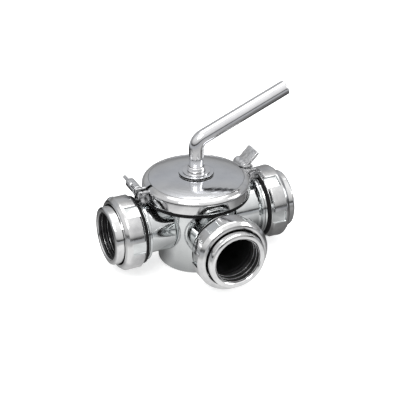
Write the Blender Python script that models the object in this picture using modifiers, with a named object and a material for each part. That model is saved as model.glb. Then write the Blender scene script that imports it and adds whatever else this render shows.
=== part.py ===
"""Three way valve for hygienic pipework, as separate sub-parts.

A drum body carries three threaded pipe unions at 90 degrees, and a T-bored rotor turns inside
it, in a PTFE sleeve. A two-bolt clamp holds the cover, and a bent bar handle turns the rotor.

Frame: +Z up along the rotor's axis, origin at the centre of the drum's flat bottom, +X along the
right-hand port, -Y along the front port and -X along the left-hand port. Lengths are in metres.
"""
import math

import bmesh
import bpy
from mathutils import Matrix, Vector

MM = 0.001
GAP = 0.3 * MM              # air between pieces that touch
EPSILON = 0.00005           # merge distance of the modifiers

# Driving dimensions
PORT_HEIGHT = 60 * MM       # port axes above the drum's bottom
DRUM_RADIUS = 52 * MM       # DN 100 tube
DRUM_BORE = 49 * MM
FLOOR_THICKNESS = 4 * MM
JOINT_HEIGHT = 110 * MM     # plane between body and cover
FERRULE_RADIUS = 66.5 * MM  # clamped rims of body and cover
CLAMP_RADIUS = 73 * MM
CLAMP_BOTTOM = 96 * MM
CLAMP_TOP = 121.5 * MM
CLAMP_LIP = 64.3 * MM
BORE_RADIUS = 30.15 * MM    # inside of a 63.5 x 1.6 mm tube
PIPE_RADIUS = 31.75 * MM
NECK_RADIUS = 34.5 * MM
NUT_RADIUS = 50 * MM
NUT_SLOTS = 6
MOUTH = 131.4 * MM          # rotor axis to a port's mouth
STEM_RADIUS = 10 * MM
HANDLE_LENGTH = 131.5 * MM  # rotor axis to the handle's tip, level
HANDLE_TIP_HEIGHT = 227.5 * MM
HANDLE_BEND_HEIGHT = 174 * MM
HANDLE_BEND_RADIUS = 17 * MM
BOLT_OFFSET = 80 * MM       # clamp bolt's axis from the rotor's axis
BOLT_HEIGHT = 111 * MM
BOLT_RADIUS = 4 * MM
LUG_INNER = 3 * MM          # half of the gap between the clamp's halves
LUG_OUTER = 8.5 * MM
WASHER_THICKNESS = 1.4 * MM
NUT_START = 10.8 * MM       # clamp nut's inner end from the clamp's split
WING_NUT_LENGTH = 28 * MM
WING_NUT_RADIUS = 6.8 * MM

BODY_STEPS = 40
UNION_STEPS = 32
SMALL_STEPS = 16

PORTS = {"left": 180, "front": -90, "right": 0}   # direction of each port about +Z, degrees


def remove_startup_objects():
    for obj in list(bpy.data.objects):
        bpy.data.objects.remove(obj, do_unlink=True)


def new_collection(name):
    group = bpy.data.collections.new(name)
    bpy.context.scene.collection.children.link(group)
    return group


def finish_material(name, colour, roughness, metallic):
    material = bpy.data.materials.new(name)
    material.use_nodes = True
    shader = material.node_tree.nodes["Principled BSDF"]
    shader.inputs["Base Color"].default_value = (*colour, 1)
    shader.inputs["Roughness"].default_value = roughness
    shader.inputs["Metallic"].default_value = metallic
    return material


def steel(name):
    return finish_material(name + "_steel", (0.78, 0.79, 0.80), 0.12, 1.0)


def ptfe(name):
    return finish_material(name + "_ptfe", (0.92, 0.92, 0.90), 0.45, 0.0)


def rubber(name):
    return finish_material(name + "_rubber", (0.02, 0.02, 0.022), 0.6, 0.0)


def add_object(name, mesh, group, material=None):
    obj = bpy.data.objects.new(name, mesh)
    group.objects.link(obj)
    if material:
        mesh.materials.append(material)
    return obj


def mesh_from_bmesh(name, form):
    mesh = bpy.data.meshes.new(name)
    form.to_mesh(mesh)
    form.free()
    return mesh


def place(obj, port_angle):
    """Turn a piece made along its own +Z into a port's direction."""
    obj.rotation_euler = (0, math.pi / 2, math.radians(port_angle))
    obj.location = (0, 0, PORT_HEIGHT)


def smooth(mesh):
    mesh.shade_smooth()
    mesh.set_sharp_from_angle(angle=math.radians(35))


def turned(name, profile, group, material=None, closed=True, steps=BODY_STEPS):
    """A profile of (radius, height) points, down its outer side, turned about local Z."""
    form = bmesh.new()
    points = [form.verts.new((radius, 0, height)) for radius, height in profile]
    pairs = list(zip(points, points[1:]))
    if closed:
        pairs.append((points[-1], points[0]))
    for start, end in pairs:
        form.edges.new((start, end))
    obj = add_object(name, mesh_from_bmesh(name, form), group, material)
    screw = obj.modifiers.new("Turn", "SCREW")
    screw.steps = steps
    screw.render_steps = steps
    screw.use_merge_vertices = True
    screw.merge_threshold = EPSILON
    return obj


def ring(name, inner, outer, bottom, top, group, material=None, steps=BODY_STEPS):
    profile = [(outer, top), (outer, bottom), (inner, bottom), (inner, top)]
    return turned(name, profile, group, material, steps=steps)


def cylinder(name, radius, length, group, matrix, material=None, steps=SMALL_STEPS):
    """A cylinder along local Z from 0 to its length, with its mesh moved by the matrix."""
    form = bmesh.new()
    bmesh.ops.create_cone(form, cap_ends=True, segments=steps, radius1=radius, radius2=radius,
                          depth=length, matrix=matrix @ Matrix.Translation((0, 0, length / 2)))
    return add_object(name, mesh_from_bmesh(name, form), group, material)


def box(name, low, high, group, material=None):
    form = bmesh.new()
    centre = (Vector(low) + Vector(high)) / 2
    size = Vector(high) - Vector(low)
    bmesh.ops.create_cube(form, size=1, matrix=Matrix.Translation(centre) @ Matrix.Diagonal((*size, 1)))
    return add_object(name, mesh_from_bmesh(name, form), group, material)


def boolean(obj, other, operation):
    """Combine with another object, which becomes a hidden guide."""
    modifier = obj.modifiers.new(operation.title(), "BOOLEAN")
    modifier.operation = operation
    modifier.object = other
    other.hide_render = True
    other.display_type = "WIRE"


def along(direction):
    """A rotation that takes +Z to the direction."""
    return Vector((0, 0, 1)).rotation_difference(Vector(direction)).to_matrix().to_4x4()


def port_cutters(cutters, name, radius, start):
    """One cylinder for each port, from the start distance outwards."""
    reach = 30 * MM
    objects = []
    for port, angle in PORTS.items():
        cutter = cylinder(f"{name}_{port}", radius, reach, cutters,
                          Matrix.Translation((0, 0, start)), steps=UNION_STEPS)
        place(cutter, angle)
        objects.append(cutter)
    return objects


def make_valve_body(parts, cutters):
    """The drum: closed bottom, clamp rim at the top and a hole for each port."""
    rim_bottom = 101.5 * MM
    profile = [
        (FERRULE_RADIUS, JOINT_HEIGHT - 0.7 * MM), (FERRULE_RADIUS, JOINT_HEIGHT - 2.5 * MM),
        (FERRULE_RADIUS - 2.6 * MM, rim_bottom), (DRUM_RADIUS + 2 * MM, rim_bottom - 1.5 * MM),
        (DRUM_RADIUS, rim_bottom - 4 * MM), (DRUM_RADIUS, 3 * MM), (DRUM_RADIUS - MM, MM),
        (DRUM_RADIUS - 3 * MM, 0), (0, 0)]
    cavity = [(0, FLOOR_THICKNESS), (DRUM_BORE, FLOOR_THICKNESS), (DRUM_BORE, JOINT_HEIGHT - 0.7 * MM)]
    body = turned("valve_body", cavity + profile, parts, steel("valve_body"), closed=False)
    for cutter in port_cutters(cutters, "body_port", BORE_RADIUS, 40 * MM):
        boolean(body, cutter, "DIFFERENCE")


def make_rotor(parts, cutters):
    """The T-bored rotor on its lower trunnion, with a socket for the stem."""
    bottom, top, radius = 8 * MM, 103 * MM, 46 * MM
    trunnion = 12 * MM
    profile = [(0, top), (radius - MM, top), (radius, top - MM), (radius, bottom + MM),
               (radius - MM, bottom), (trunnion, bottom), (trunnion, FLOOR_THICKNESS + GAP),
               (0, FLOOR_THICKNESS + GAP)]
    rotor = turned("rotor", profile, parts, steel("rotor"), closed=False)
    through = cylinder("rotor_through_bore", BORE_RADIUS, 120 * MM, cutters,
                       Matrix.Translation((0, 0, -60 * MM)), steps=UNION_STEPS)
    place(through, PORTS["right"])
    branch = cylinder("rotor_branch_bore", BORE_RADIUS, 60 * MM, cutters, Matrix(), steps=UNION_STEPS)
    place(branch, PORTS["front"])
    socket = cylinder("stem_socket", 8.3 * MM, 20 * MM, cutters,
                      Matrix.Translation((0, 0, 93 * MM)))
    for cutter in (through, branch, socket):
        boolean(rotor, cutter, "DIFFERENCE")


def make_sleeve(parts, cutters):
    """The PTFE sleeve that the rotor seals against, with a window for each port."""
    sleeve = ring("seat_sleeve", 46.3 * MM, 48.7 * MM, 8 * MM, 103 * MM, parts, ptfe("seat_sleeve"))
    for cutter in port_cutters(cutters, "sleeve_port", BORE_RADIUS, 40 * MM):
        boolean(sleeve, cutter, "DIFFERENCE")


def make_stem(parts):
    """Drive stem from the rotor's socket up to the handle's foot."""
    profile = [(0, 130.7 * MM), (STEM_RADIUS, 130.7 * MM), (STEM_RADIUS, 103.3 * MM),
               (8 * MM, 103.3 * MM), (8 * MM, 93.3 * MM), (0, 93.3 * MM)]
    turned("stem", profile, parts, steel("stem"), closed=False, steps=SMALL_STEPS)


def make_cover(parts):
    """The clamped cover, slightly domed, with a raised boss round the stem."""
    bottom = JOINT_HEIGHT + 0.7 * MM
    edge = CLAMP_LIP - GAP
    profile = [
        (13 * MM, 129.5 * MM), (22.7 * MM, 129.5 * MM), (23.5 * MM, 128.7 * MM),
        (23.5 * MM, 126.4 * MM), (25 * MM, 125.6 * MM), (44 * MM, 124.2 * MM),
        (edge - MM, 121.4 * MM), (edge, 118.4 * MM),
        (FERRULE_RADIUS, JOINT_HEIGHT + 2.5 * MM), (FERRULE_RADIUS, bottom), (13 * MM, bottom)]
    turned("cover", profile, parts, steel("cover"))


def make_clamp_half(parts, cutters, name, side):
    """Half of the clamp ring, on the side of -Y (side -1) or +Y (side 1), with a lug at each end."""
    rim = FERRULE_RADIUS + 0.5 * MM
    profile = [
        (CLAMP_LIP, CLAMP_TOP), (CLAMP_RADIUS - 4.9 * MM, CLAMP_TOP),
        (CLAMP_RADIUS - 1.9 * MM, 120.2 * MM), (CLAMP_RADIUS - 0.4 * MM, 118 * MM),
        (CLAMP_RADIUS, 115 * MM), (CLAMP_RADIUS, 101 * MM), (CLAMP_RADIUS - 0.4 * MM, 98.5 * MM),
        (CLAMP_RADIUS - 1.6 * MM, CLAMP_BOTTOM), (CLAMP_LIP, CLAMP_BOTTOM), (CLAMP_LIP, 101.3 * MM),
        (rim, 107.2 * MM), (rim, 112.8 * MM), (CLAMP_LIP, 118.7 * MM)]
    half = turned(name, profile, parts, steel(name))
    reach = 100 * MM
    near, far = sorted((-side * reach, side * LUG_INNER))
    other_side = box(f"{name}_split", (-reach, near, 80 * MM), (reach, far, 140 * MM), cutters)
    boolean(half, other_side, "DIFFERENCE")
    for end in (-1, 1):
        x_low, x_high = sorted((end * 68 * MM, end * 87 * MM))
        y_low, y_high = sorted((side * LUG_INNER, side * LUG_OUTER))
        lug = box(f"{name}_lug_{end}", (x_low, y_low, 103.2 * MM), (x_high, y_high, 118.8 * MM), cutters)
        bevel = lug.modifiers.new("Round", "BEVEL")
        bevel.width = 2.5 * MM
        bevel.segments = 2
        boolean(half, lug, "UNION")
    for end in (-1, 1):
        matrix = Matrix.Translation((end * BOLT_OFFSET, -20 * MM, BOLT_HEIGHT)) @ along((0, 1, 0))
        hole = cylinder(f"{name}_hole_{end}", BOLT_RADIUS + GAP, 40 * MM, cutters, matrix)
        boolean(half, hole, "DIFFERENCE")


def make_bolt(parts, cutters, name, end):
    """Hex-headed clamp bolt along +Y, with its head on the front lug."""
    seat = Matrix.Translation((end * BOLT_OFFSET, -LUG_OUTER - GAP, BOLT_HEIGHT))
    head = bmesh.new()
    bmesh.ops.create_cone(head, cap_ends=True, segments=6, radius1=7 * MM, radius2=7 * MM,
                          depth=5.5 * MM,
                          matrix=seat @ along((0, -1, 0)) @ Matrix.Translation((0, 0, 2.75 * MM)))
    bolt = add_object(name, mesh_from_bmesh(name, head), parts, steel(name))
    shank_matrix = seat @ along((0, 1, 0)) @ Matrix.Translation((0, 0, -MM))
    shank_length = LUG_OUTER + NUT_START + WING_NUT_LENGTH + 4 * MM
    shank = cylinder(f"{name}_shank", BOLT_RADIUS, shank_length, cutters, shank_matrix)
    boolean(bolt, shank, "UNION")


def make_washer(parts, name, end):
    washer = ring(name, BOLT_RADIUS + GAP, 7 * MM, 0, WASHER_THICKNESS, parts, steel(name), SMALL_STEPS)
    washer.rotation_euler = along((0, 1, 0)).to_euler()
    washer.location = (end * BOLT_OFFSET, LUG_OUTER + GAP, BOLT_HEIGHT)


def make_wing_nut(parts, cutters, name, end, lift, reach):
    """A round nut with one broad wing, which leans outwards and up by the lift angle."""
    nut = ring(name, BOLT_RADIUS + GAP, WING_NUT_RADIUS, 0, WING_NUT_LENGTH, parts, steel(name), SMALL_STEPS)
    nut.rotation_euler = along((0, 1, 0)).to_euler()
    nut.location = (end * BOLT_OFFSET, NUT_START, BOLT_HEIGHT)
    wing = box(f"{name}_wing", (6 * MM, 0.5 * MM, -2.25 * MM),
               (reach, WING_NUT_LENGTH - 0.5 * MM, 2.25 * MM), cutters)
    bevel = wing.modifiers.new("Round", "BEVEL")
    bevel.width = 1.2 * MM
    bevel.segments = 2
    angle = lift if end > 0 else 180 - lift
    wing.matrix_world = (Matrix.Translation(nut.location)
                         @ Matrix.Rotation(-math.radians(angle), 4, "Y"))
    boolean(nut, wing, "UNION")


def make_stub(parts, cutters, port, angle):
    """Male half of a union: a neck fitted to the drum, and its threaded head."""
    start, shoulder, face = 45 * MM, 81 * MM, 102 * MM
    head = 42.3 * MM
    profile = [(head, face), (head, shoulder + 1.5 * MM), (head - 1.5 * MM, shoulder),
               (NECK_RADIUS + 1.5 * MM, shoulder), (NECK_RADIUS, shoulder - 1.5 * MM),
               (NECK_RADIUS, start), (BORE_RADIUS, start), (BORE_RADIUS, face)]
    stub = turned(f"{port}_stub", profile, parts, steel(f"{port}_stub"), steps=UNION_STEPS)
    place(stub, angle)
    drum = cylinder(f"{port}_saddle", DRUM_RADIUS + GAP, 120 * MM, cutters, Matrix(), steps=BODY_STEPS)
    boolean(stub, drum, "DIFFERENCE")


def make_liner(parts, port, angle):
    """Expanding liner: the ring that a pipe is rolled into."""
    outer, shoulder, back = 39.4 * MM, 41.9 * MM, 104.3 * MM
    step = 108 * MM
    profile = [(37.6 * MM, MOUTH), (outer, MOUTH - 2 * MM), (outer, 113.7 * MM),
               (shoulder, 113.7 * MM), (shoulder, back), (BORE_RADIUS, back), (BORE_RADIUS, step),
               (PIPE_RADIUS, step), (PIPE_RADIUS, MOUTH - MM), (PIPE_RADIUS + MM, MOUTH)]
    liner = turned(f"{port}_liner", profile, parts, steel(f"{port}_liner"), steps=UNION_STEPS)
    place(liner, angle)


def make_union_gasket(parts, port, angle):
    gasket = ring(f"{port}_gasket", BORE_RADIUS, 41.5 * MM, 102.3 * MM, 104 * MM, parts,
                  rubber(f"{port}_gasket"), UNION_STEPS)
    place(gasket, angle)


def make_nut(parts, cutters, port, angle):
    """Round union nut with a front web that pulls the liner in, and slots for a hook spanner."""
    rear, front = 87.6 * MM, 120 * MM
    thread, hole = 42.8 * MM, 40.9 * MM
    profile = [(44.6 * MM, front), (45.6 * MM, front - 0.6 * MM), (NUT_RADIUS - MM, front - 4.4 * MM),
               (NUT_RADIUS, front - 6 * MM), (NUT_RADIUS, 96 * MM), (NUT_RADIUS - 0.8 * MM, 94.7 * MM),
               (46 * MM, 92.5 * MM), (46 * MM, rear + MM), (45.2 * MM, rear), (thread, rear),
               (thread, 114 * MM), (hole, 114 * MM), (hole, front)]
    nut = turned(f"{port}_union_nut", profile, parts, steel(f"{port}_union_nut"), steps=UNION_STEPS)
    place(nut, angle)
    form = bmesh.new()
    for number in range(NUT_SLOTS):
        spoke = (Matrix.Rotation(math.tau * (number + 0.5) / NUT_SLOTS, 4, "Z")
                 @ Matrix.Translation((51.4 * MM, 0, 100 * MM)))
        bmesh.ops.create_cube(form, size=1, matrix=spoke @ Matrix.Diagonal((10 * MM, 17 * MM, 24 * MM, 1)))
    slots = add_object(f"{port}_slots", mesh_from_bmesh(f"{port}_slots", form), cutters)
    place(slots, angle)
    boolean(nut, slots, "DIFFERENCE")


def make_small_seals(parts):
    """Bushes, seals and washers round the stem and under the rotor."""
    ring("base_bush", 12.3 * MM, 20 * MM, 4.3 * MM, 7.7 * MM, parts, ptfe("base_bush"), SMALL_STEPS)
    ring("cover_gasket", DRUM_BORE, 64 * MM, JOINT_HEIGHT - 0.4 * MM, JOINT_HEIGHT + 0.4 * MM, parts,
         rubber("cover_gasket"))
    ring("stem_bush", 10.3 * MM, 12.7 * MM, 117 * MM, 129.5 * MM, parts, ptfe("stem_bush"), SMALL_STEPS)
    ring("thrust_washer", 10.3 * MM, 22 * MM, 103.3 * MM, 105 * MM, parts, ptfe("thrust_washer"),
         SMALL_STEPS)
    ring("rotor_spring", 14 * MM, 21 * MM, 105.3 * MM, 110.4 * MM, parts, steel("rotor_spring"),
         SMALL_STEPS)
    ring("gland_ring", 12 * MM, 18.5 * MM, 129.8 * MM, 131.3 * MM, parts, steel("gland_ring"),
         SMALL_STEPS)
    for name, height in (("lower_o_ring", 112.5 * MM), ("upper_o_ring", 115.3 * MM)):
        bpy.ops.mesh.primitive_torus_add(location=(0, 0, height), major_radius=11.65 * MM,
                                         minor_radius=1.05 * MM, major_segments=SMALL_STEPS,
                                         minor_segments=6)
        seal = bpy.context.object
        seal.name = name
        for group in list(seal.users_collection):
            group.objects.unlink(seal)
        parts.objects.link(seal)
        seal.data.materials.append(rubber(name))


def handle_route():
    """Centre line of the handle: up from the stem, round the bend, and out to the tip."""
    bend = Vector((0, 0, HANDLE_BEND_HEIGHT))
    tip = Vector((HANDLE_LENGTH, 0, HANDLE_TIP_HEIGHT))
    slope = (tip - bend).normalized()
    up = Vector((0, 0, 1))
    turn = up.angle(slope)
    inset = HANDLE_BEND_RADIUS * math.tan(turn / 2)
    centre = Vector((HANDLE_BEND_RADIUS, 0, HANDLE_BEND_HEIGHT - inset))
    steps = 8
    arc = []
    for number in range(steps + 1):
        angle = math.pi - turn * number / steps
        offset = Vector((math.cos(angle), 0, math.sin(angle))) * HANDLE_BEND_RADIUS
        arc.append(centre + offset)
    return [Vector((0, 0, 131 * MM)), *arc, tip]


def make_handle(parts):
    curve = bpy.data.curves.new("handle", "CURVE")
    curve.dimensions = "3D"
    curve.bevel_depth = STEM_RADIUS
    curve.bevel_resolution = 3
    curve.use_fill_caps = True
    spline = curve.splines.new("POLY")
    route = handle_route()
    spline.points.add(len(route) - 1)
    for point, place_at in zip(spline.points, route):
        point.co = (*place_at, 1)
    curve.materials.append(steel("handle"))
    parts.objects.link(bpy.data.objects.new("handle", curve))


def make_collar(parts, cutters):
    """Collar over the seam between stem and handle, and its set screw."""
    profile = [(11.4 * MM, 138 * MM), (12.2 * MM, 137.2 * MM), (12.2 * MM, 131.6 * MM),
               (10.3 * MM, 131.6 * MM), (10.3 * MM, 138 * MM)]
    collar = turned("handle_collar", profile, parts, steel("handle_collar"), steps=SMALL_STEPS)
    height = 134.6 * MM
    hole_start = Matrix.Translation((0, -8 * MM, height)) @ along((0, -1, 0))
    hole = cylinder("set_screw_hole", 2.3 * MM, 8 * MM, cutters, hole_start, steps=12)
    boolean(collar, hole, "DIFFERENCE")
    screw_start = Matrix.Translation((0, -10.4 * MM, height)) @ along((0, -1, 0))
    cylinder("set_screw", 2 * MM, 1.6 * MM, parts, screw_start, steel("set_screw"), steps=12)


def build():
    remove_startup_objects()
    parts = new_collection("three_way_valve")
    cutters = new_collection("guides")
    make_valve_body(parts, cutters)
    make_rotor(parts, cutters)
    make_sleeve(parts, cutters)
    make_stem(parts)
    make_cover(parts)
    make_small_seals(parts)
    make_clamp_half(parts, cutters, "front_clamp_half", -1)
    make_clamp_half(parts, cutters, "rear_clamp_half", 1)
    for name, end, lift, reach in (("right", 1, 46, 27 * MM), ("left", -1, 53, 16 * MM)):
        make_bolt(parts, cutters, f"{name}_clamp_bolt", end)
        make_washer(parts, f"{name}_washer", end)
        make_wing_nut(parts, cutters, f"{name}_wing_nut", end, lift, reach)
    for port, angle in PORTS.items():
        make_stub(parts, cutters, port, angle)
        make_union_gasket(parts, port, angle)
        make_liner(parts, port, angle)
        make_nut(parts, cutters, port, angle)
    make_handle(parts)
    make_collar(parts, cutters)
    for obj in parts.objects:
        if obj.type == "MESH":
            smooth(obj.data)


build()
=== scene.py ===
"""Looks of the three way valve: fine turned pieces, polished steel and soft studio light.

Lengths are in metres in the CAD frame: +Z up along the rotor's axis, origin at the centre of the
drum's flat bottom, +X along the right port and -Y along the front port.
"""
import math

import bmesh
import bpy
from mathutils import Matrix, Vector


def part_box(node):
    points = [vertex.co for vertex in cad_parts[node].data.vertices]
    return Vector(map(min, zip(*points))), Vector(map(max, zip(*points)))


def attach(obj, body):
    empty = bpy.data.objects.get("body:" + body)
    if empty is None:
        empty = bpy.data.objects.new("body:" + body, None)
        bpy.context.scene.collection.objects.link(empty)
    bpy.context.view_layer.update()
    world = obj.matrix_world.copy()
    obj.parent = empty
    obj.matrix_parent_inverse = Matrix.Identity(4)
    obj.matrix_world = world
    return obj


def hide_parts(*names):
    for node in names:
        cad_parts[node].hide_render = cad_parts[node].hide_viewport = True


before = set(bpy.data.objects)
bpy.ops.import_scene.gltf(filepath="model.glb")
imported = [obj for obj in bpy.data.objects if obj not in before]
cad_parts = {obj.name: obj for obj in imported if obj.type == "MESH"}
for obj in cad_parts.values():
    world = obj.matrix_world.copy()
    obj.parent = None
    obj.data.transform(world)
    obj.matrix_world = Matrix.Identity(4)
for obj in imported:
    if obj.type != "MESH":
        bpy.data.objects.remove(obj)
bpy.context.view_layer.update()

MM = 0.001
ROOT = "valve_body"
PORTS = {"left": 180, "front": -90, "right": 0}   # direction of each port about +Z, degrees
STEPS = 144                 # facets round a large turned piece
SMALL_STEPS = 64

# Sizes taken from the CAD nodes
port_low, port_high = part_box("right_union_nut")
PORT_HEIGHT = (port_low.z + port_high.z) / 2
NUT_REAR, NUT_FRONT = port_low.x, port_high.x
NUT_RADIUS = (port_high.z - port_low.z) / 2
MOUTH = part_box("right_liner")[1].x
BORE_RADIUS = 30.15 * MM
PIPE_RADIUS = 31.75 * MM
NECK_RADIUS = 34.5 * MM
DRUM_RADIUS = 52 * MM
DRUM_BORE = 49 * MM
JOINT_HEIGHT = 110 * MM
FERRULE_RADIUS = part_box("cover")[1].x
CLAMP_RADIUS = 73 * MM
CLAMP_LIP = 64.3 * MM
CLAMP_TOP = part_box("front_clamp_half")[1].z
CLAMP_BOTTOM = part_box("front_clamp_half")[0].z
BOLT_OFFSET = 80 * MM
BOLT_HEIGHT = 111 * MM
BOLT_RADIUS = 4 * MM
BOLT_HEAD_RADIUS = 7 * MM
LUG_INNER = 3 * MM
LUG_OUTER = 8.5 * MM
LUG_START, LUG_END = 68 * MM, 87 * MM           # from the rotor's axis
LUG_BOTTOM, LUG_TOP = 103.2 * MM, 118.8 * MM
WASHER_THICKNESS = 1.4 * MM
NUT_START = 10.8 * MM       # clamp nut's inner end from the clamp's split
WING_NUT_LENGTH = 28 * MM
WING_NUT_RADIUS = 6.8 * MM
BAR_RADIUS = 10 * MM
NUT_SLOTS = 6
SCREW_HEIGHT = 134.6 * MM
FLOOR_THICKNESS = 4 * MM
GROOVES = 3                 # rolled grooves in each liner
GROOVE_START = 108.6 * MM
GROOVE_PITCH = 7.6 * MM
AWAY_FROM_CAMERA = (0.414, 0.910, 0)    # level direction of the camera's view

pieces_group = bpy.data.collections.new("pieces")
bpy.context.scene.collection.children.link(pieces_group)


# ---------------------------------------------------------------- materials

def material_nodes(name):
    material = bpy.data.materials.new(name)
    material.use_nodes = True
    tree = material.node_tree
    return material, tree, tree.nodes["Principled BSDF"]


def add_node(tree, kind, **values):
    node = tree.nodes.new(kind)
    for key, value in values.items():
        if key in node.inputs:
            node.inputs[key].default_value = value
        else:
            setattr(node, key, value)
    return node


def ramp(tree, source, stops):
    """A colour ramp fed from a socket, with (position, grey or colour) stops."""
    node = tree.nodes.new("ShaderNodeValToRGB")
    elements = node.color_ramp.elements
    while len(elements) < len(stops):
        elements.new(0.5)
    for element, (position, colour) in zip(elements, stops):
        element.position = position
        tone = colour if isinstance(colour, tuple) else (colour, colour, colour)
        element.color = (*tone, 1)
    tree.links.new(source, node.inputs["Fac"])
    return node.outputs["Color"]


def object_coordinates(tree, scale):
    coords = tree.nodes.new("ShaderNodeTexCoord")
    mapping = add_node(tree, "ShaderNodeMapping", Scale=scale)
    tree.links.new(coords.outputs["Object"], mapping.inputs["Vector"])
    return mapping.outputs["Vector"]


def polished_steel(name, light, dark, smooth=0.06, rough=0.16, grain=(60, 60, 60), bump=0.02,
                   clouds=38):
    """Stainless steel: cloudy polish in colour and roughness, and fine polishing marks."""
    material, tree, shader = material_nodes(name)
    shader.inputs["Metallic"].default_value = 1.0
    cloud = add_node(tree, "ShaderNodeTexNoise", Scale=1.0, Detail=4.0, Roughness=0.55)
    tree.links.new(object_coordinates(tree, (clouds, clouds, clouds)), cloud.inputs["Vector"])
    colour = ramp(tree, cloud.outputs["Fac"], [(0.30, dark), (0.62, light)])
    tree.links.new(colour, shader.inputs["Base Color"])
    marks = add_node(tree, "ShaderNodeTexNoise", Scale=1.0, Detail=6.0, Roughness=0.65)
    tree.links.new(object_coordinates(tree, grain), marks.inputs["Vector"])
    roughness = ramp(tree, marks.outputs["Fac"], [(0.35, smooth), (0.70, rough)])
    tree.links.new(roughness, shader.inputs["Roughness"])
    relief = add_node(tree, "ShaderNodeBump", Strength=bump, Distance=0.0004)
    tree.links.new(marks.outputs["Fac"], relief.inputs["Height"])
    tree.links.new(relief.outputs["Normal"], shader.inputs["Normal"])
    return material


def matt_material(name, light, dark, roughness, scale, bump, shine=0.5):
    """Rubber, PTFE or painted shade in a recess: a non-metal with a fine mottled surface."""
    material, tree, shader = material_nodes(name)
    shader.inputs["Specular IOR Level"].default_value = shine
    grain = add_node(tree, "ShaderNodeTexNoise", Scale=1.0, Detail=5.0)
    tree.links.new(object_coordinates(tree, (scale, scale, scale)), grain.inputs["Vector"])
    colour = ramp(tree, grain.outputs["Fac"], [(0.35, dark), (0.65, light)])
    tree.links.new(colour, shader.inputs["Base Color"])
    finish = ramp(tree, grain.outputs["Fac"], [(0.3, roughness), (0.7, roughness + 0.15)])
    tree.links.new(finish, shader.inputs["Roughness"])
    relief = add_node(tree, "ShaderNodeBump", Strength=bump, Distance=0.0003)
    tree.links.new(grain.outputs["Fac"], relief.inputs["Height"])
    tree.links.new(relief.outputs["Normal"], shader.inputs["Normal"])
    return material


def paint_underside_shade(material, shade):
    """Painted shade: darken the steel's colour where it faces down, as a painted reflection of the floor
    and the cover, which is all it would see there.
    """
    tree = material.node_tree
    shader = tree.nodes["Principled BSDF"]
    colour = shader.inputs["Base Color"].links[0].from_socket
    geometry = tree.nodes.new("ShaderNodeNewGeometry")
    split = tree.nodes.new("ShaderNodeSeparateXYZ")
    tree.links.new(geometry.outputs["Normal"], split.inputs["Vector"])
    fade = add_node(tree, "ShaderNodeMapRange",
                    **{"From Min": -0.75, "From Max": -0.25, "To Min": shade, "To Max": 1.0})
    tree.links.new(split.outputs["Z"], fade.inputs["Value"])
    mix = add_node(tree, "ShaderNodeMix", data_type="RGBA", blend_type="MULTIPLY", Factor=1.0)
    tree.links.new(colour, mix.inputs["A"])
    tree.links.new(fade.outputs["Result"], mix.inputs["B"])
    tree.links.new(mix.outputs["Result"], shader.inputs["Base Color"])


def make_materials():
    return {
        "body_steel": polished_steel("body_steel", (0.80, 0.82, 0.82), (0.66, 0.68, 0.69)),
        "cover_steel": polished_steel("cover_steel", (0.78, 0.79, 0.81), (0.70, 0.71, 0.74), 0.08, 0.17),
        "clamp_steel": polished_steel("clamp_steel", (0.80, 0.80, 0.80), (0.58, 0.58, 0.59)),
        "fastener_steel": polished_steel("fastener_steel", (0.62, 0.62, 0.63), (0.40, 0.40, 0.41),
                                         0.18, 0.32),
        "handle_steel": polished_steel("handle_steel", (0.86, 0.86, 0.87), (0.72, 0.72, 0.74),
                                       grain=(400, 60, 60)),
        "liner_steel": polished_steel("liner_steel", (0.84, 0.84, 0.84), (0.66, 0.66, 0.67)),
        # Lit and shaded copies of the lip steel: painted light for the front mouth, painted shade for the
        # other two.
        "lit_lip_steel": polished_steel("lit_lip_steel", (0.95, 0.95, 0.96), (0.45, 0.45, 0.46), 0.25, 0.45,
                                    grain=(500, 500, 500), bump=0.2, clouds=90),
        "shaded_lip_steel": polished_steel("shaded_lip_steel", (0.22, 0.22, 0.23), (0.08, 0.08, 0.08),
                                         0.30, 0.50, grain=(500, 500, 500), bump=0.2, clouds=90),
        "lug_steel": polished_steel("lug_steel", (0.62, 0.62, 0.63), (0.02, 0.02, 0.02), 0.15, 0.35,
                                    grain=(600, 600, 600), bump=0.35, clouds=260),
        "nut_steel": polished_steel("nut_steel", (0.80, 0.80, 0.80), (0.54, 0.54, 0.55), 0.07, 0.20,
                                    bump=0.04),
        # Near-black painted shade for bores and recesses, and for the dark lines between parts.
        "bore_painted_shade": matt_material("bore_painted_shade", (0.016, 0.016, 0.017), (0.006, 0.006, 0.006),
                                   0.35, 90, 0.05),
        "shadow_line": matt_material("shadow_line", (0.010, 0.010, 0.011), (0.004, 0.004, 0.004),
                                     0.5, 300, 0.05, shine=0.12),
        "weld_steel": polished_steel("weld_steel", (0.66, 0.67, 0.68), (0.42, 0.43, 0.44), 0.20, 0.36,
                                     grain=(500, 500, 500), bump=0.2),
        "wing_steel": polished_steel("wing_steel", (0.96, 0.96, 0.97), (0.52, 0.52, 0.53), 0.16, 0.34,
                                     grain=(500, 500, 500), bump=0.15, clouds=240),
        "ptfe": matt_material("ptfe", (0.80, 0.80, 0.78), (0.70, 0.70, 0.68), 0.4, 300, 0.05),
        "seal_rubber": matt_material("seal_rubber", (0.022, 0.022, 0.024), (0.012, 0.012, 0.013),
                                     0.45, 500, 0.08),
    }


materials = make_materials()
# Painted shade on the undersides of everything in handle_steel: handle bar, stem, collar and gland ring.
paint_underside_shade(materials["handle_steel"], 0.12)


# ---------------------------------------------------------------- shapes

def port_matrix(port):
    """Takes a piece made along +Z to the direction and height of a port."""
    return (Matrix.Translation((0, 0, PORT_HEIGHT)) @ Matrix.Rotation(math.radians(PORTS[port]), 4, "Z")
            @ Matrix.Rotation(math.pi / 2, 4, "Y"))


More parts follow.
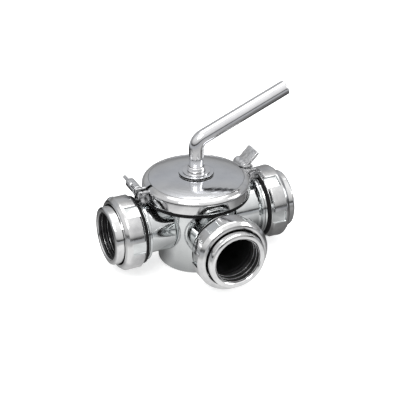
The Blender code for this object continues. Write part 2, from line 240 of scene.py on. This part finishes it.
def add_piece(name, form, finish, matrix=Matrix()):
    """A bmesh as an object, moved by the matrix, with one material."""
    bmesh.ops.transform(form, matrix=matrix, verts=form.verts)
    bmesh.ops.recalc_face_normals(form, faces=form.faces)
    mesh = bpy.data.meshes.new(name)
    form.to_mesh(mesh)
    form.free()
    mesh.materials.append(materials[finish])
    obj = bpy.data.objects.new(name, mesh)
    pieces_group.objects.link(obj)
    return obj


def smooth(obj, angle=32):
    obj.data.shade_smooth()
    obj.data.set_sharp_from_angle(angle=math.radians(angle))
    return obj


def fillet(points, radius, steps=4):
    """The closed outline with each corner rounded, or left where its sides are too short."""
    rounded = []
    count = len(points)
    for index, point in enumerate(points):
        corner = Vector(point)
        before, after = Vector(points[index - 1]), Vector(points[(index + 1) % count])
        to_before, to_after = before - corner, after - corner
        turn = math.pi - to_before.angle(to_after)
        cut = min(radius * math.tan(turn / 2), 0.45 * min(to_before.length, to_after.length))
        start, end = corner + to_before.normalized() * cut, corner + to_after.normalized() * cut
        for step in range(steps + 1):
            part = step / steps
            rounded.append((1 - part) ** 2 * start + 2 * part * (1 - part) * corner + part ** 2 * end)
    return [tuple(point) for point in rounded]


def lathe(outline, steps=STEPS):
    """A closed outline of (radius, height) points turned about Z, as a bmesh."""
    form = bmesh.new()
    rings = []
    for step in range(steps):
        angle = math.tau * step / steps
        direction = Vector((math.cos(angle), math.sin(angle), 0))
        rings.append([form.verts.new(direction * radius + Vector((0, 0, height)))
                      for radius, height in outline])
    for step in range(steps):
        here, there = rings[step], rings[(step + 1) % steps]
        for index in range(len(outline)):
            following = (index + 1) % len(outline)
            form.faces.new((here[index], there[index], there[following], here[following]))
    bmesh.ops.remove_doubles(form, verts=form.verts, dist=1e-6)
    return form


def turned(name, outline, finish, matrix=Matrix(), steps=STEPS, radius=0.4 * MM):
    return add_piece(name, lathe(fillet(outline, radius), steps), finish, matrix)


def sweep(path, radii, sides=64):
    """A round tube along a path, with its own radius at each point and closed ends."""
    form = bmesh.new()
    rings = []
    for index, (point, radius) in enumerate(zip(path, radii)):
        ahead = path[min(index + 1, len(path) - 1)] - path[max(index - 1, 0)]
        ahead.normalize()
        side = Vector((0, 1, 0))
        third = ahead.cross(side)
        rings.append([form.verts.new(point + radius * (math.cos(turn) * side + math.sin(turn) * third))
                      for turn in (math.tau * step / sides for step in range(sides))])
    for here, there in zip(rings, rings[1:]):
        for index in range(sides):
            following = (index + 1) % sides
            form.faces.new((here[index], here[following], there[following], there[index]))
    form.faces.new(rings[0])
    form.faces.new(rings[-1])
    return form


def box_form(low, high, rounding=0.0, segments=3):
    form = bmesh.new()
    centre = (Vector(low) + Vector(high)) / 2
    size = Vector(high) - Vector(low)
    bmesh.ops.create_cube(form, size=1, matrix=Matrix.Translation(centre) @ Matrix.Diagonal((*size, 1)))
    if rounding:
        bmesh.ops.bevel(form, geom=form.edges[:], offset=rounding, segments=segments, profile=0.5,
                        affect="EDGES")
    return form


def cylinder_form(radius, start, end, steps=SMALL_STEPS):
    form = bmesh.new()
    bmesh.ops.create_cone(form, cap_ends=True, segments=steps, radius1=radius, radius2=radius,
                          depth=end - start, matrix=Matrix.Translation((0, 0, (start + end) / 2)))
    return form


def combine(obj, form, operation, matrix=Matrix(), finish="body_steel"):
    """Boolean with a bmesh, applied at once."""
    other = add_piece("guide", form, finish, matrix)
    modifier = obj.modifiers.new("Combine", "BOOLEAN")
    modifier.operation = operation
    modifier.object = other
    modifier.material_mode = "TRANSFER"
    depsgraph = bpy.context.evaluated_depsgraph_get()
    result = bpy.data.meshes.new_from_object(obj.evaluated_get(depsgraph))
    obj.modifiers.clear()
    obj.data = result
    bpy.data.objects.remove(other, do_unlink=True)


def paint(obj, finish, chosen):
    """Give the chosen faces another finish."""
    obj.data.materials.append(materials[finish])
    for face in obj.data.polygons:
        if chosen(face):
            face.material_index = len(obj.data.materials) - 1


def axis_distance(port, point):
    """How far a point lies from a port's axis, and how far along it."""
    local = port_matrix(port).inverted() @ point
    return math.hypot(local.x, local.y), local.z


def settle(obj, body, slot, *nodes):
    """Shade a finished piece, tie it to its body and hide the CAD nodes it stands for. The slot is not
    used.
    """
    smooth(obj)
    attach(obj, body)
    if nodes:
        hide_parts(*nodes)
    return obj


def along(direction):
    return Vector((0, 0, 1)).rotation_difference(Vector(direction)).to_matrix().to_4x4()


# ---------------------------------------------------------------- pieces

def make_drum():
    rim_bottom = 101.5 * MM
    top = JOINT_HEIGHT - 0.7 * MM
    base_round, open_centre = 3 * MM, 6 * MM
    outline = [
        (DRUM_BORE, top), (FERRULE_RADIUS, top), (FERRULE_RADIUS, top - 1.8 * MM),
        (FERRULE_RADIUS - 2.6 * MM, rim_bottom), (DRUM_RADIUS + 2 * MM, rim_bottom - 1.5 * MM),
        (DRUM_RADIUS, rim_bottom - 5 * MM), (DRUM_RADIUS, base_round), (DRUM_RADIUS - base_round, 0),
        (open_centre, 0), (open_centre, FLOOR_THICKNESS), (DRUM_BORE, FLOOR_THICKNESS)]
    drum = turned("drum", outline, "body_steel", radius=1.2 * MM)
    combine(drum, cylinder_form(open_centre + 1 * MM, 0, FLOOR_THICKNESS), "UNION")
    for port in PORTS:
        combine(drum, cylinder_form(BORE_RADIUS, 40 * MM, 70 * MM, STEPS), "DIFFERENCE",
                port_matrix(port))
    settle(drum, ROOT, "body_steel", "valve_body")


def saddle_point(turn, radius, drum_radius):
    """A point where a tube round a port's axis meets the drum, in the port's own frame."""
    across, up = radius * math.cos(turn), radius * math.sin(turn)
    return Vector((up, across, math.sqrt(drum_radius ** 2 - across ** 2)))


def make_weld(port):
    """The weld bead that runs round the neck where it meets the drum."""
    form = bmesh.new()
    count, sides, bead = 180, 10, 1.0 * MM
    rings = []
    for index in range(count):
        turn = math.tau * index / count
        centre = saddle_point(turn, NECK_RADIUS, DRUM_RADIUS)
        outward = Vector((math.sin(turn), math.cos(turn), 0))
        ripple = 1 + 0.10 * math.sin(count / 2.5 * turn)
        rings.append([form.verts.new(centre + bead * ripple * (math.cos(step) * outward
                                                              + math.sin(step) * Vector((0, 0, 1))))
                      for step in (math.tau * side / sides for side in range(sides))])
    for index in range(count):
        here, there = rings[index], rings[(index + 1) % count]
        for side in range(sides):
            following = (side + 1) % sides
            form.faces.new((here[side], here[following], there[following], there[side]))
    weld = add_piece(f"{port}_weld", form, "weld_steel", port_matrix(port))
    settle(weld, ROOT, "body_steel")


def make_stub(port):
    """Neck, shoulder and the round-threaded head that the union nut turns on."""
    start, shoulder, face, head = 45 * MM, 81 * MM, 102 * MM, 42.3 * MM
    pitch, depth = 4.2 * MM, 1.1 * MM
    outline = [(BORE_RADIUS, start), (BORE_RADIUS, face), (head - 1.5 * MM, face)]
    crest = face - 2 * MM
    while crest > shoulder + 6 * MM:
        outline += [(head, crest), (head - depth, crest - pitch / 2)]
        crest -= pitch
    outline += [(head, shoulder + 3.5 * MM), (head, shoulder), (NECK_RADIUS + 1.8 * MM, shoulder),
                (NECK_RADIUS, shoulder - 2.5 * MM), (NECK_RADIUS, start)]
    stub = turned(f"{port}_neck", outline, "body_steel", port_matrix(port), radius=0.7 * MM)
    combine(stub, cylinder_form(DRUM_RADIUS, 0, 130 * MM, STEPS), "DIFFERENCE")
    # Painted shade: the neck's bore is painted near black.
    paint(stub, "bore_painted_shade", lambda face: axis_distance(port, face.center)[0] < BORE_RADIUS + 0.5 * MM)
    settle(stub, ROOT, "body_steel", f"{port}_stub")


def groove_outline():
    """The rolled grooves in a liner's bore, from its step towards the mouth."""
    depth, points = 1.3 * MM, []
    for number in range(GROOVES):
        low = GROOVE_START + GROOVE_PITCH * number
        points += [(PIPE_RADIUS, low), (PIPE_RADIUS + depth, low + 0.6 * MM),
                   (PIPE_RADIUS + depth, low + 2.2 * MM), (PIPE_RADIUS, low + 2.8 * MM)]
    return points


def make_liner(port):
    outer, shoulder, back, step = 39.4 * MM, 41.9 * MM, 104.3 * MM, 108 * MM
    shoulder_front = 113.7 * MM
    outline = [(36.6 * MM, MOUTH), (38.6 * MM, MOUTH - 0.8 * MM), (outer, MOUTH - 2.8 * MM),
               (outer, shoulder_front), (shoulder, shoulder_front), (shoulder, back), (BORE_RADIUS, back),
               (BORE_RADIUS, step), (PIPE_RADIUS, step), *groove_outline(),
               (PIPE_RADIUS, MOUTH - 1.6 * MM), (PIPE_RADIUS + 1.4 * MM, MOUTH)]
    liner = turned(f"{port}_liner_ring", outline, "liner_steel", port_matrix(port), radius=0.45 * MM)

    # Painted shade: the bore and its grooves behind the mouth are painted near black.
    def in_bore_shade(face):
        radius, reach = axis_distance(port, face.center)
        return radius < PIPE_RADIUS + 1.25 * MM and reach < MOUTH - 1.2 * MM

    paint(liner, "bore_painted_shade", in_bore_shade)
    settle(liner, ROOT, "liner_steel", f"{port}_liner")


def make_groove_lips(port):
    """The lip beside each rolled groove: a lighter copy of the steel as painted light in the front mouth,
    a darker copy as painted shade in the other two.
    """
    radius, width = PIPE_RADIUS - 1.0 * MM, 2.0 * MM
    finish = "lit_lip_steel" if port == "front" else "shaded_lip_steel"
    for number in range(GROOVES):
        low = GROOVE_START + GROOVE_PITCH * number + 3 * MM
        outline = [(radius, low), (radius + 0.8 * MM, low), (radius + 0.8 * MM, low + width),
                   (radius, low + width)]
        lip = turned(f"{port}_groove_lip_{number + 1}", outline, finish, port_matrix(port),
                     radius=0.4 * MM)
        settle(lip, ROOT, "liner_steel")


def make_nut(port):
    """Union nut: chamfered collar in front, six hook-spanner slots and a stepped rear."""
    thread, hole, rear_step, web = 42.8 * MM, 40.9 * MM, 46 * MM, 114 * MM
    outline = [(44.4 * MM, NUT_FRONT), (46.2 * MM, NUT_FRONT - 0.7 * MM),
               (NUT_RADIUS - 0.6 * MM, NUT_FRONT - 4.6 * MM), (NUT_RADIUS, NUT_FRONT - 6.4 * MM),
               (NUT_RADIUS, 95.8 * MM), (NUT_RADIUS - 1.2 * MM, 94.4 * MM), (rear_step, 92.4 * MM),
               (rear_step, NUT_REAR), (thread, NUT_REAR), (thread, web), (hole, web),
               (hole, NUT_FRONT)]
    nut = turned(f"{port}_round_nut", outline, "nut_steel", port_matrix(port), radius=0.7 * MM)
    slot_floor, slot_half = 46.4 * MM, 8.5 * MM
    for number in range(NUT_SLOTS):
        spoke = Matrix.Rotation(math.tau * (number + 0.5) / NUT_SLOTS, 4, "Z")
        slot = box_form((slot_floor, -slot_half, 88 * MM), (56 * MM, slot_half, 112 * MM), 1.1 * MM)
        combine(nut, slot, "DIFFERENCE", port_matrix(port) @ spoke)

    # Painted shade: the nut's bore edge and its stepped rear are painted black, for the dark gap at the
    # liner and the dark ring at the rear.
    def in_recess_shade(face):
        radius, reach = axis_distance(port, face.center)
        return radius < thread - 0.2 * MM or (radius < rear_step + 0.3 * MM and reach < 92 * MM)

    paint(nut, "shadow_line", in_recess_shade)
    settle(nut, f"{port}_nut", "nut_steel", f"{port}_union_nut")


def make_cover():
    bottom = JOINT_HEIGHT + 0.7 * MM
    edge, foot = CLAMP_LIP - 0.3 * MM, 25 * MM
    rim_height, rise, fullness = CLAMP_TOP - 0.1 * MM, 5.2 * MM, 2.2
    hole, boss, boss_top = 13 * MM, 23.5 * MM, 129.5 * MM
    dome = []
    steps = 8
    for step in range(steps + 1):
        radius = foot + (edge - 0.1 * MM - foot) * step / steps
        dome.append((radius, rim_height + rise * (1 - ((radius - foot) / (edge - foot)) ** fullness)))
    outline = [(hole, boss_top), (boss, boss_top), (boss, 126.6 * MM), *dome,
               (edge, CLAMP_TOP - 0.2 * MM), (edge, 118.4 * MM), (FERRULE_RADIUS, bottom + 1.8 * MM),
               (FERRULE_RADIUS, bottom), (hole, bottom)]
    cover = turned("domed_cover", outline, "cover_steel", radius=0.5 * MM)

    # Painted shade: the boss's upright wall is painted black, for the dark ring round its foot.
    def boss_wall_shade(face):
        upright = abs(face.normal.z) < 0.6
        outside = math.hypot(face.center.x, face.center.y) > boss - 0.3 * MM
        return upright and outside and 126 * MM < face.center.z < 129 * MM

    paint(cover, "shadow_line", boss_wall_shade)
    settle(cover, ROOT, "cover_steel", "cover")


def clamp_shoulder():
    """The clamp's top: it carries on the cover's slope and rolls over into the wall."""
    start = Vector((CLAMP_LIP + 0.1 * MM, CLAMP_TOP))
    corner = Vector((CLAMP_RADIUS, 119.4 * MM))
    end = Vector((CLAMP_RADIUS, 113.5 * MM))
    steps = 8
    points = []
    for step in range(steps + 1):
        part = step / steps
        points.append((1 - part) ** 2 * start + 2 * part * (1 - part) * corner + part ** 2 * end)
    return [tuple(point) for point in points]


def make_clamp_half(name, side, node):
    rim = FERRULE_RADIUS + 0.5 * MM
    outline = [
        (CLAMP_LIP, CLAMP_TOP - 0.2 * MM), *clamp_shoulder(),
        (CLAMP_RADIUS, 102.8 * MM), (CLAMP_RADIUS - 0.2 * MM, 102 * MM),
        (CLAMP_RADIUS - 1.2 * MM, CLAMP_BOTTOM), (CLAMP_LIP, CLAMP_BOTTOM), (CLAMP_LIP, 101.3 * MM),
        (rim, 107.2 * MM), (rim, 112.8 * MM), (CLAMP_LIP, 118.7 * MM)]
    half = turned(name, outline, "clamp_steel", radius=1.0 * MM)
    reach = 100 * MM
    near, far = sorted((-side * reach, side * LUG_INNER))
    combine(half, box_form((-reach, near, 80 * MM), (reach, far, 140 * MM)), "DIFFERENCE")
    for end in (-1, 1):
        x_low, x_high = sorted((end * LUG_START, end * LUG_END))
        y_low, y_high = sorted((side * LUG_INNER, side * LUG_OUTER))
        lug = box_form((x_low, y_low, LUG_BOTTOM), (x_high, y_high, LUG_TOP), 2.4 * MM, 4)
        combine(half, lug, "UNION")
    for end in (-1, 1):
        matrix = Matrix.Translation((end * BOLT_OFFSET, -20 * MM, BOLT_HEIGHT)) @ along((0, 1, 0))
        combine(half, cylinder_form(BOLT_RADIUS + 0.3 * MM, 0, 40 * MM), "DIFFERENCE", matrix)
    shade_band_top, lug_root, lug_width = CLAMP_BOTTOM + 4.9 * MM, 70.8 * MM, 10 * MM
    # Painted shade: the clamp's lower shoulder is painted black, a painted dark reflection under the
    # clamp.
    paint(half, "shadow_line", lambda face: face.center.z < shade_band_top)
    paint(half, "lug_steel", lambda face: abs(face.center.x) > lug_root and abs(face.center.y) < lug_width)
    settle(half, ROOT, "clamp_steel", node)


def bolt_matrix(end, start):
    """Takes a piece made along +Z onto a clamp bolt's axis, with its foot at a distance along +Y."""
    return Matrix.Translation((end * BOLT_OFFSET, start, BOLT_HEIGHT)) @ along((0, 1, 0))


def make_bolt(name, end, node):
    """Hex head with a chamfered top, and a shank with a rounded end."""
    head_height = 5.5 * MM
    seat = bolt_matrix(end, -LUG_OUTER - 0.3 * MM)
    form = bmesh.new()
    bmesh.ops.create_cone(form, cap_ends=True, segments=6, radius1=BOLT_HEAD_RADIUS,
                          radius2=BOLT_HEAD_RADIUS, depth=head_height,
                          matrix=Matrix.Translation((0, 0, -head_height / 2)))
    bmesh.ops.bevel(form, geom=form.edges[:], offset=0.5 * MM, segments=2, profile=0.5, affect="EDGES")
    bolt = add_piece(name, form, "lug_steel", seat)
    tip = LUG_OUTER + NUT_START + WING_NUT_LENGTH + 3 * MM
    outline = [(0, -MM), (BOLT_RADIUS, -MM), (BOLT_RADIUS, tip), (0, tip)]
    combine(bolt, lathe(fillet(outline, 1 * MM), SMALL_STEPS), "UNION", seat)
    settle(bolt, ROOT, "fastener_steel", node)


def make_washer(name, end, node):
    hole, outer = BOLT_RADIUS + 0.3 * MM, 7 * MM
    outline = [(hole, 0), (outer, 0), (outer, WASHER_THICKNESS), (hole, WASHER_THICKNESS)]
    matrix = bolt_matrix(end, LUG_OUTER + 0.3 * MM)
    washer = turned(name, outline, "fastener_steel", matrix, SMALL_STEPS, 0.3 * MM)
    settle(washer, ROOT, "fastener_steel", node)


def make_wing_nut(name, end, lift, reach, body, node):
    """Round hub and one broad wing that leans outwards and up."""
    thickness, inner, outer = 4.5 * MM, BOLT_RADIUS + 0.3 * MM, WING_NUT_RADIUS
    outline = [(inner, 0), (outer, 0), (outer, WING_NUT_LENGTH), (inner, WING_NUT_LENGTH)]
    nut = turned(name, outline, "wing_steel", bolt_matrix(end, NUT_START), SMALL_STEPS, 1.2 * MM)
    wing = box_form((6 * MM, 0.5 * MM, -thickness / 2),
                    (reach, WING_NUT_LENGTH - 0.5 * MM, thickness / 2))
    corners = [edge for edge in wing.edges
               if all(vert.co.x > reach - MM for vert in edge.verts)
               and abs(edge.verts[0].co.z - edge.verts[1].co.z) > MM]
    bmesh.ops.bevel(wing, geom=corners, offset=2.2 * MM, segments=5, profile=0.5, affect="EDGES")
    sharp = [edge for edge in wing.edges if edge.calc_face_angle(0) > math.radians(60)]
    bmesh.ops.bevel(wing, geom=sharp, offset=0.9 * MM, segments=3, profile=0.5, affect="EDGES")
    angle = lift if end > 0 else 180 - lift
    matrix = (Matrix.Translation((end * BOLT_OFFSET, NUT_START, BOLT_HEIGHT))
              @ Matrix.Rotation(-math.radians(angle), 4, "Y"))
    combine(nut, wing, "UNION", matrix, "wing_steel")
    settle(nut, body, "clamp_steel", node)


def make_handle():
    """The bent bar: upright, a smooth bend, and a straight grip with a rounded end."""
    bend_height, bend_radius, foot = 174 * MM, 17 * MM, 131 * MM
    tip = Vector((131.5 * MM, 0, 227.5 * MM))
    slope = (tip - Vector((0, 0, bend_height))).normalized()
    turn = Vector((0, 0, 1)).angle(slope)
    centre = Vector((bend_radius, 0, bend_height - bend_radius * math.tan(turn / 2)))
    path = [Vector((0, 0, foot)), Vector((0, 0, foot + 1 * MM)), Vector((0, 0, foot + 20 * MM))]
    steps = 24
    for step in range(steps + 1):
        angle = math.pi - turn * step / steps
        path.append(centre + bend_radius * Vector((math.cos(angle), 0, math.sin(angle))))
    radii = [BAR_RADIUS - 0.5 * MM] + [BAR_RADIUS] * (len(path) - 1)
    edge, edge_steps = 2.5 * MM, 8
    for step in range(edge_steps + 1):
        angle = math.pi / 2 * step / edge_steps
        path.append(tip - slope * edge * (1 - math.sin(angle)))
        radii.append(BAR_RADIUS - edge * (1 - math.cos(angle)))
    handle = add_piece("handle_bar", sweep(path, radii), "handle_steel")
    settle(handle, "turning_plug", "handle_steel", "handle")


def make_collar():
    outline = [(10.3 * MM, 131.6 * MM), (12.2 * MM, 131.6 * MM), (12.2 * MM, 137 * MM),
               (11.2 * MM, 138 * MM), (10.3 * MM, 138 * MM)]
    collar = turned("foot_collar", outline, "handle_steel", steps=SMALL_STEPS, radius=0.4 * MM)
    matrix = Matrix.Translation((0, -8 * MM, SCREW_HEIGHT)) @ along((0, -1, 0))
    combine(collar, cylinder_form(2.3 * MM, 0, 8 * MM), "DIFFERENCE", matrix)
    settle(collar, "turning_plug", "handle_steel", "handle_collar")


def make_set_screw():
    """Socket set screw in the collar, with its hexagon recess."""
    matrix = Matrix.Translation((0, -10.4 * MM, SCREW_HEIGHT)) @ along((0, -1, 0))
    screw = add_piece("collar_screw", cylinder_form(2 * MM, 0, 1.6 * MM), "fastener_steel", matrix)
    combine(screw, cylinder_form(1.1 * MM, 0.6 * MM, 3 * MM, 6), "DIFFERENCE", matrix)
    settle(screw, "turning_plug", "fastener_steel", "set_screw")


def make_gland_ring():
    outline = [(12 * MM, 129.8 * MM), (18.5 * MM, 129.8 * MM), (18.5 * MM, 131.3 * MM),
               (12 * MM, 131.3 * MM)]
    ring = turned("polished_gland_ring", outline, "handle_steel", radius=0.4 * MM)
    settle(ring, ROOT, "fastener_steel", "gland_ring")


def dress_cad_nodes():
    """The inner pieces keep their CAD shape. Rotor and sleeve carry near-black painted shade, so that the
    mouths look deep.
    """
    finishes = {
        "rotor": "bore_painted_shade", "stem": "handle_steel", "seat_sleeve": "bore_painted_shade",
        "rotor_spring": "fastener_steel", "base_bush": "ptfe", "stem_bush": "ptfe",
        "thrust_washer": "ptfe", "cover_gasket": "seal_rubber", "lower_o_ring": "seal_rubber",
        "upper_o_ring": "seal_rubber"}
    finishes.update({f"{port}_gasket": "seal_rubber" for port in PORTS})
    for node, finish in finishes.items():
        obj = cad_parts[node]
        obj.data.materials.clear()
        obj.data.materials.append(materials[finish])


# ---------------------------------------------------------------- studio

def floor_reflection(tree):
    """What polished pieces see of the floor: light in front, dark behind, grey far away, with a painted
    shadow that darkens it near the valve.
    """
    coords = tree.nodes.new("ShaderNodeTexCoord")
    flatten = add_node(tree, "ShaderNodeVectorMath", operation="NORMALIZE")
    tree.links.new(coords.outputs["Object"], flatten.inputs[0])
    facing = add_node(tree, "ShaderNodeVectorMath", operation="DOT_PRODUCT")
    tree.links.new(flatten.outputs["Vector"], facing.inputs[0])
    facing.inputs[1].default_value = AWAY_FROM_CAMERA
    shift = add_node(tree, "ShaderNodeMath", operation="MULTIPLY_ADD")
    shift.inputs[1].default_value = 0.5
    shift.inputs[2].default_value = 0.5
    tree.links.new(facing.outputs["Value"], shift.inputs[0])
    tone = ramp(tree, shift.outputs["Value"], [
        (0.0, 0.92), (0.17, 0.90), (0.30, 0.50), (0.42, 0.26), (0.62, 0.20), (0.75, 0.05),
        (0.86, 0.10), (1.0, 0.45)])
    distance = add_node(tree, "ShaderNodeVectorMath", operation="LENGTH")
    tree.links.new(coords.outputs["Object"], distance.inputs[0])
    # Painted shadow: the floor's reflection darkens near the valve.
    painted_contact_shadow = ramp(tree, distance.outputs["Value"], [
        (0.05, 0.42), (0.10, 0.72), (0.15, 0.98), (0.25, 0.98), (0.36, 0.58)])
    shade = add_node(tree, "ShaderNodeMix", data_type="RGBA", blend_type="MULTIPLY", Factor=1.0)
    tree.links.new(tone, shade.inputs["A"])
    tree.links.new(painted_contact_shadow, shade.inputs["B"])
    far = add_node(tree, "ShaderNodeMix", data_type="RGBA")
    tree.links.new(ramp(tree, distance.outputs["Value"], [(0.45, 0.0), (0.75, 1.0)]), far.inputs["Factor"])
    tree.links.new(shade.outputs["Result"], far.inputs["A"])
    far.inputs["B"].default_value = (0.46, 0.47, 0.49, 1)
    glow = tree.nodes.new("ShaderNodeEmission")
    tree.links.new(far.outputs["Result"], glow.inputs["Color"])
    return glow.outputs["Emission"]


def make_floor():
    """A pale floor for the camera. Polished pieces see floor_reflection instead."""
    form = bmesh.new()
    bmesh.ops.create_grid(form, x_segments=1, y_segments=1, size=6)
    floor = add_piece("studio_floor", form, "body_steel")
    material, tree, shader = material_nodes("floor_white")
    shader.inputs["Base Color"].default_value = (0.90, 0.90, 0.90, 1)
    shader.inputs["Roughness"].default_value = 0.9
    shader.inputs["Emission Color"].default_value = (1, 1, 1, 1)
    shader.inputs["Emission Strength"].default_value = 0.55
    path = tree.nodes.new("ShaderNodeLightPath")
    mix = tree.nodes.new("ShaderNodeMixShader")
    tree.links.new(path.outputs["Is Glossy Ray"], mix.inputs["Fac"])
    tree.links.new(shader.outputs["BSDF"], mix.inputs[1])
    tree.links.new(floor_reflection(tree), mix.inputs[2])
    tree.links.new(mix.outputs["Shader"], tree.nodes["Material Output"].inputs["Surface"])
    floor.data.materials.clear()
    floor.data.materials.append(material)


def make_world():
    """A pale backdrop for the camera. Reflections see it bright above, grey behind, dark low in front."""
    world = bpy.data.worlds.new("studio")
    bpy.context.scene.world = world
    world.use_nodes = True
    tree = world.node_tree
    coords = tree.nodes.new("ShaderNodeTexCoord")
    split = tree.nodes.new("ShaderNodeSeparateXYZ")
    tree.links.new(coords.outputs["Generated"], split.inputs["Vector"])
    behind = ramp(tree, split.outputs["Z"], [
        (0.00, 0.26), (0.14, 0.30), (0.22, 0.42), (0.50, (0.50, 0.51, 0.53)), (0.68, 0.52),
        (0.84, 0.9), (1.0, 0.95)])
    front = ramp(tree, split.outputs["Z"], [
        (0.00, 0.05), (0.09, 0.08), (0.15, 0.50), (0.36, 0.78), (0.70, 0.95), (0.85, 1.1), (1.0, 1.1)])
    facing = add_node(tree, "ShaderNodeVectorMath", operation="DOT_PRODUCT")
    tree.links.new(coords.outputs["Generated"], facing.inputs[0])
    facing.inputs[1].default_value = AWAY_FROM_CAMERA
    side = ramp(tree, facing.outputs["Value"], [(0.0, 0.0), (0.35, 1.0)])
    blend = add_node(tree, "ShaderNodeMix", data_type="RGBA")
    tree.links.new(side, blend.inputs["Factor"])
    tree.links.new(front, blend.inputs["A"])
    tree.links.new(behind, blend.inputs["B"])
    path = tree.nodes.new("ShaderNodeLightPath")
    seen = add_node(tree, "ShaderNodeMix", data_type="RGBA")
    tree.links.new(path.outputs["Is Camera Ray"], seen.inputs["Factor"])
    tree.links.new(blend.outputs["Result"], seen.inputs["A"])
    seen.inputs["B"].default_value = (0.96, 0.96, 0.96, 1)
    background = tree.nodes["Background"]
    tree.links.new(seen.outputs["Result"], background.inputs["Color"])
    background.inputs["Strength"].default_value = 1.0


def add_area(name, location, target, size, power):
    light = bpy.data.lights.new(name, "AREA")
    light.shape = "RECTANGLE"
    light.size, light.size_y = size
    light.energy = power
    obj = bpy.data.objects.new(name, light)
    obj.location = location
    direction = Vector(target) - Vector(location)
    obj.rotation_euler = direction.to_track_quat("-Z", "Y").to_euler()
    bpy.context.scene.collection.objects.link(obj)


def make_lights():
    centre = (0, 0, 0.08)
    add_area("key", (-0.9, -0.9, 1.5), centre, (1.0, 0.7), 10)
    add_area("fill", (1.4, -0.6, 0.9), centre, (0.6, 1.0), 5)
    add_area("top", (0.1, 0.3, 1.8), centre, (1.6, 1.0), 9)


def make_camera():
    azimuth, elevation, distance = math.radians(-24.45), math.radians(29.38), 1.8006
    aim = Vector((0, 0, PORT_HEIGHT))
    back = Vector((math.sin(azimuth) * math.cos(elevation), -math.cos(azimuth) * math.cos(elevation),
                   math.sin(elevation)))
    data = bpy.data.cameras.new("camera")
    data.lens, data.sensor_width = 119.14, 36
    data.shift_x, data.shift_y = 0.0094, 0.0402
    camera = bpy.data.objects.new("camera", data)
    camera.location = aim + back * distance
    camera.rotation_euler = (-back).to_track_quat("-Z", "Y").to_euler()
    bpy.context.scene.collection.objects.link(camera)
    bpy.context.scene.camera = camera


def build():
    make_camera()
    make_drum()
    for port in PORTS:
        make_stub(port)
        make_weld(port)
        make_liner(port)
        make_groove_lips(port)
        make_nut(port)
    make_cover()
    make_clamp_half("front_clamp", -1, "front_clamp_half")
    make_clamp_half("rear_clamp", 1, "rear_clamp_half")
    for side, end, lift, reach in (("right", 1, 46, 27 * MM), ("left", -1, 53, 16 * MM)):
        make_bolt(f"{side}_bolt", end, f"{side}_clamp_bolt")
        make_washer(f"{side}_plain_washer", end, f"{side}_washer")
        make_wing_nut(f"{side}_lever_nut", end, lift, reach, f"{side}_wing", f"{side}_wing_nut")
    make_handle()
    make_collar()
    make_set_screw()
    make_gland_ring()
    dress_cad_nodes()
    make_floor()
    make_world()
    make_lights()
    bpy.context.scene.view_settings.view_transform = "Standard"


build()
